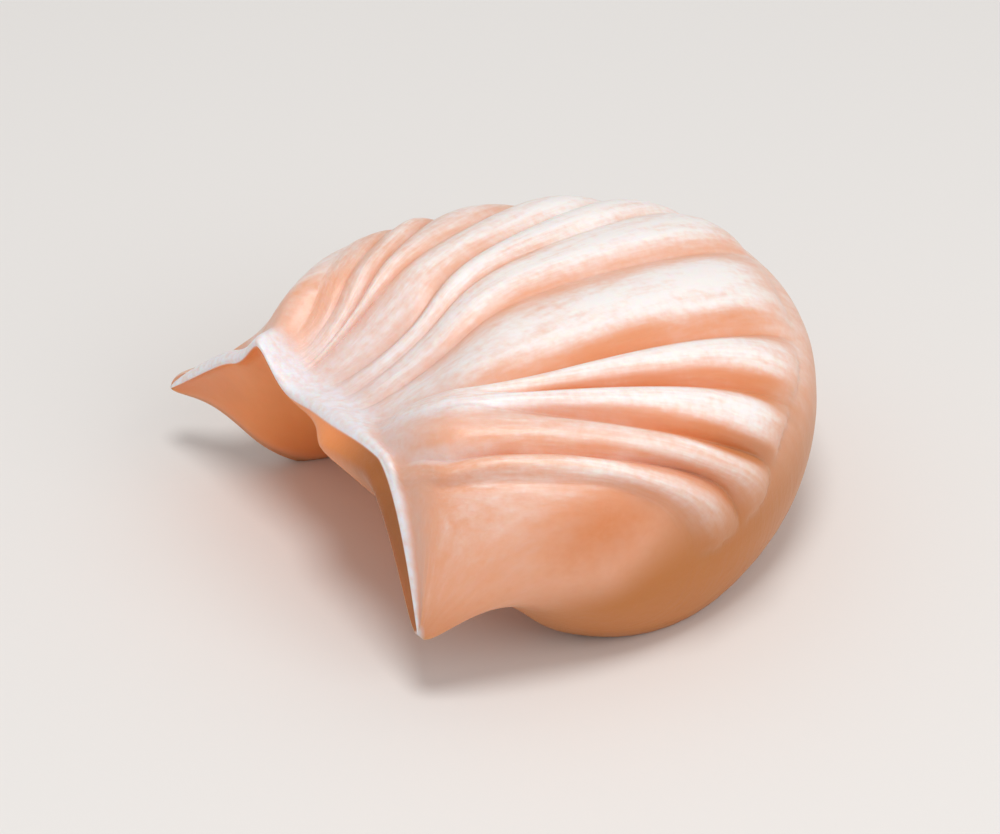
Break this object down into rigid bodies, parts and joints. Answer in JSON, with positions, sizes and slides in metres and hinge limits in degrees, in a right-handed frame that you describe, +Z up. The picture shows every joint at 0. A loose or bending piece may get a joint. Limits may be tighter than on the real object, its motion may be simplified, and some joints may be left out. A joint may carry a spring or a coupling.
{
  "type": "shrimp dumpling",
  "caption": "Steamed crescent dumpling with a translucent wrapper gathered into pleats along a curved seam, flat underneath.",
  "frame": {"origin": "centre of the bounding box at its bottom, on the surface the dumpling rests on", "axes": "+Z up; the seam faces -Y and the pleated belly faces +Y; X runs from the raised wing tip to the other tip"},
  "size_m": [0.0506, 0.0488, 0.0247],
  "materials": {
    "translucent_wrapper": "moist, soft gloss, slightly see-through starch wrapper with a warm filling behind it"
  },
  "bodies": {
    "root": {"dumpling": "translucent_wrapper"}
  },
  "joints": []
}
